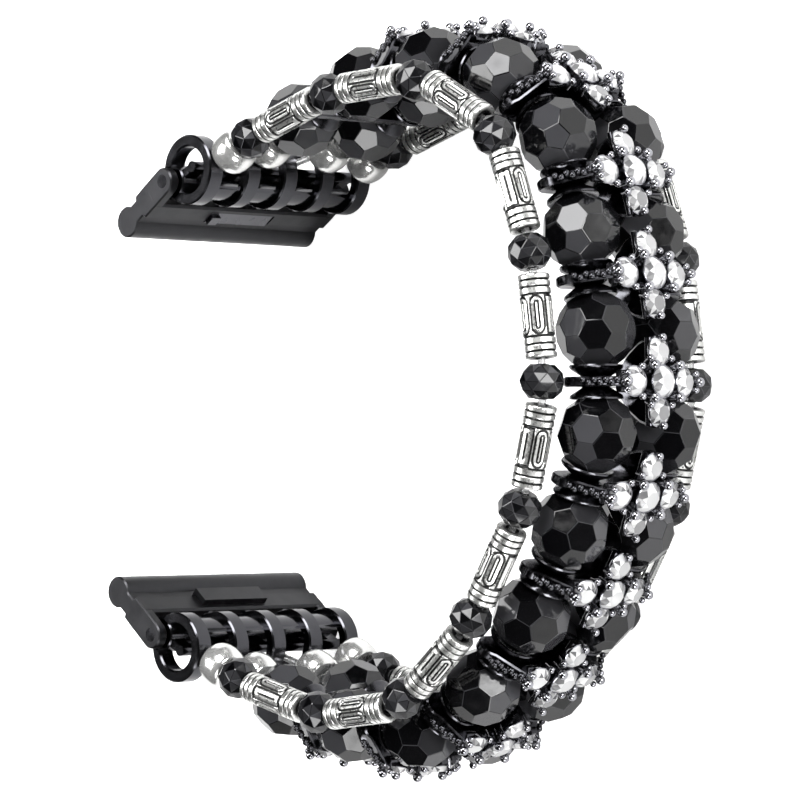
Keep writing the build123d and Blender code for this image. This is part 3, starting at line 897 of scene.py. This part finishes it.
# %% [markdown]
# A comb joins the beads to its adapter. It has five flat ring ribs on one barrel, a thin
# bar that the elastic loops round, and a curved wall between the ribs. Each part is turned
# or raised by itself and sunk a little into the next, as a casting's parts run together.

# %% Combs
rib_count = 5
rib_pitch = 5.5
rib_width = 2.0
ring_radius = 3.8
hole_radius = 2.55
pin_to_ring = 2.8
pin_hole = 0.8
barrel_radius = 1.86
boss_radius = 1.9
bar_forward = 0.7
bar_radius = 0.6
wall_radius = 3.15
# a spoke ties each ring to the barrel: where it starts, and half of its thickness
spoke_start = -pin_to_ring + 1.5
spoke_half = 0.5


def comb_parts(flip):
    """Local X from the pin to the beads, local Y outward, with the ring's middle at zero."""
    form = Form()
    width = (rib_count - 1) * rib_pitch + rib_width
    up = Matrix.Rotation(math.radians(-90), 4, "Y")
    half = rib_width / 2
    edge = 0.16
    rib = [(-half, hole_radius + edge), (-half + edge, hole_radius), (half - edge, hole_radius),
           (half, hole_radius + edge), (half, ring_radius - edge), (half - edge, ring_radius),
           (-half + edge, ring_radius), (-half, ring_radius - edge)]
    boss = [(-half, pin_hole), (half, pin_hole), (half, boss_radius - 0.15),
            (half - edge, boss_radius), (-half + edge, boss_radius), (-half, boss_radius - 0.15)]
    for index in range(rib_count):
        height = (index - (rib_count - 1) / 2) * rib_pitch
        form.add(*turned(rib, 64, closed=True), Matrix.Translation((0, 0, height)) @ up)
        form.add(*turned(boss, 40, closed=True),
                 Matrix.Translation((-pin_to_ring, 0, height)) @ up)
        spoke = [(spoke_start, -spoke_half), (bar_forward, -spoke_half),
                 (bar_forward, spoke_half), (spoke_start, spoke_half)]
        form.add(*slab(spoke, height - half * 0.85, height + half * 0.85, 0.12))
    for middle, radius, bore in ((-pin_to_ring, barrel_radius, pin_hole),
                                 (bar_forward, bar_radius, 0.0)):
        profile = [(-width / 2 + 0.1, bore), (width / 2 - 0.1, bore),
                   (width / 2 - 0.1, radius), (-width / 2 + 0.1, radius)]
        form.add(*turned(profile, 40, closed=True), Matrix.Translation((middle, 0, 0)) @ up)
    wall = arc((0, 0), wall_radius, 200, 300, 18) + arc((0, 0), hole_radius, 300, 200, 18)
    form.add(*slab(wall, -width / 2 + 0.1, width / 2 - 0.1, 0.08))
    if flip:
        form.points = [Vector((x, -y, z)) for x, y, z in form.points]
    return form


for end in ("upper", "lower"):
    along = (bars[end] - pins[end]).normalized()
    origin = pins[end] + along * pin_to_ring
    turn = math.atan2(along.y, along.x)
    place = Matrix.Translation(origin) @ Matrix.Rotation(turn, 4, "Z")
    data = comb_parts(end == "lower").mesh(f"comb_{end}_cast", [comb_plate], sharp=35)
    show(f"comb_{end}_casting", data, place, f"comb_{end}", "gunmetal", f"comb_{end}")
print("combs with", rib_count, "ribs each")

# %% [markdown]
# The adapters are milled from a plate: a long round rail on one edge and two ears that hold
# the pin on the other. The section is one outline raised along the width, and the ears are
# two thin slabs with round ends. The shallow pocket for the leaf spring is cut afterwards.

# %% Adapters
adapter_length = 7.1
ear_width = 1.2
band_width = 2 * mid_width


def adapter_parts(flip):
    form = Form()
    rail = 1.7
    root = 1.5
    plate = 1.45
    waist = 1.05
    neck = -adapter_length + rail
    body = arc((-adapter_length, 0), rail, 38, 322, 30)
    body += [(neck + 0.1, -waist), (neck + 0.75, -waist), (neck + 0.95, -plate),
             (-2.5, -root), (-2.25, -root + 0.25), (-2.25, root - 0.25), (-2.5, root),
             (neck + 0.95, plate), (neck + 0.75, waist), (neck + 0.1, waist)]
    form.add(*slab(body, -band_width / 2, band_width / 2, 0.15))
    ear = arc((0, 0), root, -90, 90, 20) + [(-3.4, root - 0.03), (-3.4, -root + 0.03)]
    for side in (1, -1):
        outer = side * band_width / 2
        inner = side * (band_width / 2 - ear_width)
        form.add(*slab(ear, min(outer, inner) + 0.01, max(outer, inner) - 0.01, 0.15))
    if flip:
        form.points = [Vector((x, -y, z)) for x, y, z in form.points]
    return form


def without(data, points, faces):
    """The mesh with another closed form, in millimetres, cut out of it."""
    block = Form().add(points, faces).mesh("block", [], smooth=False)
    body = bpy.data.objects.new("body", data)
    tool = bpy.data.objects.new("tool", block)
    for piece in (body, tool):
        bpy.context.scene.collection.objects.link(piece)
    cut = body.modifiers.new("cut", "BOOLEAN")
    cut.operation = "DIFFERENCE"
    cut.object = tool
    made = bpy.data.meshes.new_from_object(body.evaluated_get(
        bpy.context.evaluated_depsgraph_get()))
    for piece in (body, tool):
        bpy.data.objects.remove(piece)
    bpy.data.meshes.remove(block)
    return made


pocket_width = 2.0
pocket_length = 9.3
pocket_depth = 1.69
inner_face = 1.47
latch_middle = -3.95

for end in ("upper", "lower"):
    rail_place = Vector(mount_places[f"rail_{end}"])
    along = (pins[end] - rail_place).normalized()
    place = Matrix.Translation(pins[end]) @ Matrix.Rotation(math.atan2(along.y, along.x), 4, "Z")
    solid = adapter_parts(end == "lower").mesh(f"adapter_{end}_plate", [satin_black], sharp=35)
    side = -1 if end == "upper" else 1
    mouth_at = side * inner_face * 1.5
    floor_at = side * inner_face - side * pocket_depth
    start, stop = latch_middle - pocket_width / 2, latch_middle + pocket_width / 2
    pocket = [(start, mouth_at), (stop, mouth_at), (stop, floor_at), (start, floor_at)]
    data = without(solid, *slab(pocket, -pocket_length / 2, pocket_length / 2, 0.001))
    data.name = f"adapter_{end}_milled"
    data.set_sharp_from_angle(angle=math.radians(35))
    show(f"adapter_{end}_body", data, place, f"adapter_{end}", "gunmetal", f"adapter_{end}")
for end in ("upper", "lower"):
    for kind, material in (("adapter_pin", ground_steel), ("spring_latch", spring_steel)):
        piece = frame["nodes"][f"{kind}_{end}"]
        piece.data.materials.clear()
        piece.data.materials.append(material)
        bevel = piece.modifiers.new("eased_edges", "BEVEL")
        bevel.width = 0.06 * mm
        bevel.segments = 2
print("adapters", 2)

# %% [markdown]
# Clear elastic runs through every bead. Little of it shows: a short loop round each comb's
# bar, and hairline gaps between the pieces. Each visible run is a piece of its own.

# %% Elastic cords
cord_radius = 0.4
# at a comb: the distance of each strand from the middle, at the bar and at its smooth bead
loop_strands = ((3.2, 4.4), (8.8, 9.9))
loop_radius = 1.05
bar_to_bead = 6.6
# between a row and its spacer, the share of the way that the big bead hides
hidden_share = 0.6
past_tube = 0.6


def tube_along(points, radius, sides=10):
    """A round tube along a line of points."""
    made = []
    for index, point in enumerate(points):
        run = Vector(points[min(index + 1, len(points) - 1)]) - Vector(points[max(index - 1, 0)])
        turn = run.to_track_quat("X", "Z").to_matrix()
        made += [Vector(point) + turn @ Vector((0, y, z)) for y, z in circle(radius, sides)]
    caps = [tuple(range(sides)), tuple(range(len(made) - sides, len(made)))]
    return made, wrapped(len(points), sides) + caps


def cord_piece(name, form):
    """One run of cord, left on no body."""
    data = form.mesh(name, [elastic], sharp=60)
    piece = bpy.data.objects.new(name, data)
    bpy.context.scene.collection.objects.link(piece)
    return piece


for number, link in enumerate(links, start=1):
    for body, row, part in ((f"row_{number:02d}", rows[number - 1], "before"),
                            (f"row_{number + 1:02d}", rows[number], "after")):
        form = Form()
        start = row + (link.translation - row) * hidden_share
        for side in (1, -1):
            run = [start + (link.translation - start) * step / 6 for step in range(7)]
            form.add(*tube_along([point + Vector((0, 0, side * bead_strand)) for point in run],
                                 cord_radius))
        piece = cord_piece(f"cord_{number:02d}_{part}", form)
        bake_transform(piece)

for end, row, body in (("upper", rows[0], "row_01"), ("lower", rows[-1], f"row_{row_count:02d}")):
    form = Form()
    along = (row - bars[end]).normalized()
    inward = Vector((-along.y, along.x, 0)) * (1 if end == "upper" else -1)
    for strand, reach in loop_strands:
        for side in (1, -1):
            base = bars[end] + Vector((0, 0, side * strand))
            loop = [base + (along * math.cos(math.radians(turn))
                            + inward * math.sin(math.radians(turn))) * loop_radius
                    for turn in range(200, 74, -14)]
            far = bars[end] + along * bar_to_bead + Vector((0, 0, side * reach))
            form.add(*tube_along([base - inward * 0.5 - along * 1.0] + loop
                                 + [base + along * 2.2 + inward * 0.55, far], cord_radius))
    piece = cord_piece(f"cord_loops_{end}", form)
    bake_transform(piece)
    if end == "upper":
        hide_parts("elastic_cords")

stub_half = tube_length / 2 + past_tube
stub = [(-stub_half, 0), (-stub_half, cord_radius), (stub_half, cord_radius), (stub_half, 0)]
stub_mesh = Form().add(*turned(stub, 12)).mesh("tube_cord", [elastic], sharp=60)
for order, (number, place) in enumerate(tube_places):
    show(f"tube_cord_{number:02d}_{order % 2 + 1}", stub_mesh, place,
         body_of(f"silver_tubes_{number:02d}"), "clear_elastic")
print("cord runs", 2 * len(links) + 2 + len(tube_places))

# %% [markdown]
# The stage is a pale floor under the band, which lies on its side, and soft boxes of light.
# Black glass shows nothing but what it mirrors, so the boxes are large and few, with dark
# between them: that, with the painted reflection grey on each facet, gives the facets their
# different greys.

# %% Floor and light
floor_mesh = bpy.data.meshes.new("floor")
floor_half = 2.0
corners = [(x * floor_half, y * floor_half, 0) for x, y in ((-1, -1), (1, -1), (1, 1), (-1, 1))]
floor_mesh.from_pydata(corners, [], [(0, 1, 2, 3)])
floor = bpy.data.objects.new("floor", floor_mesh)
bpy.context.scene.collection.objects.link(floor)
floor.location.z = -0.02 * mm
paper, tree, shader = finish_named("white_paper")
rays = node(tree, "ShaderNodeLightPath")
glow = node(tree, "ShaderNodeMath", {0: rays.outputs["Is Camera Ray"], 1: 0.85},
            operation="MULTIPLY")
feed(tree, shader, {"Base Color": linear("#f4f4f4"), "Roughness": 0.9,
                    "Emission Color": linear("#ffffff"),
                    "Emission Strength": glow.outputs["Value"]})
floor_mesh.materials.append(paper)

world = bpy.data.worlds.new("studio")
bpy.context.scene.world = world
world.use_nodes = True
tree = world.node_tree
sky = tree.nodes["Background"]
where = node(tree, "ShaderNodeTexCoord")
panels = node(tree, "ShaderNodeTexNoise", {"Vector": where.outputs["Generated"], "Scale": 4.2,
              "Detail": 0.0})
shade = node(tree, "ShaderNodeMapRange", {"Value": panels.outputs["Fac"], "From Min": 0.36,
             "From Max": 0.66, "To Min": 0.06, "To Max": 1.15})
rays = node(tree, "ShaderNodeLightPath")
seen = node(tree, "ShaderNodeMix", {"Factor": rays.outputs["Is Camera Ray"],
            "A": shade.outputs["Result"], "B": 1.0}, data_type="FLOAT")
feed(tree, sky, {"Strength": seen.outputs["Result"]})


def soft_box(name, place, size, power):
    """A square soft box that faces the middle of the band; the place is in millimetres."""
    lamp = bpy.data.lights.new(name, "AREA")
    lamp.shape = "SQUARE"
    lamp.size = size * mm
    lamp.energy = power
    made = bpy.data.objects.new(name, lamp)
    bpy.context.scene.collection.objects.link(made)
    made.location = Vector(place) * mm
    toward = Vector((0, 0, mid_width)) * mm - made.location
    made.rotation_euler = toward.to_track_quat("-Z", "Y").to_euler()


soft_box("key_box", (120, 380, 420), 300, 4.2)
soft_box("side_box", (520, 60, 160), 220, 2.4)
soft_box("low_box", (260, -420, 260), 220, 1.6)
soft_box("left_box", (-260, 60, 480), 240, 2.2)
print("soft boxes", 4)

# %% [markdown]
# The camera stands where the photographer's did: 45 degrees round from the band's side,
# almost level with its middle, some 42 centimetres away through a long lens. These few
# angles were found by matching the pins and the rows of beads to the photograph.

# %% Camera
camera_azimuth = math.radians(45.49)
camera_rise = math.radians(0.42)
camera_roll = math.radians(1.485)
camera_distance = 418.2
camera_target = Vector((-3.91, -0.17, mid_width))
image_size = 800
focal_pixels = 3935

back = Vector((math.sin(camera_azimuth) * math.cos(camera_rise), math.sin(camera_rise),
               math.cos(camera_azimuth) * math.cos(camera_rise)))
level = Vector((math.cos(camera_azimuth), 0, -math.sin(camera_azimuth)))
lift = back.cross(level)
right = level * math.cos(camera_roll) + lift * math.sin(camera_roll)
above = lift * math.cos(camera_roll) - level * math.sin(camera_roll)
lens = bpy.data.cameras.new("camera")
lens.sensor_width = 36
lens.lens = focal_pixels * lens.sensor_width / image_size
lens.clip_start = 10 * mm
camera = bpy.data.objects.new("camera", lens)
bpy.context.scene.collection.objects.link(camera)
turn = Matrix((right, above, back)).transposed().to_4x4()
camera.matrix_world = Matrix.Translation((camera_target + back * camera_distance) * mm) @ turn
bpy.context.scene.camera = camera
bpy.context.scene.view_settings.view_transform = "Standard"
print("lens", round(lens.lens, 1), "mm")
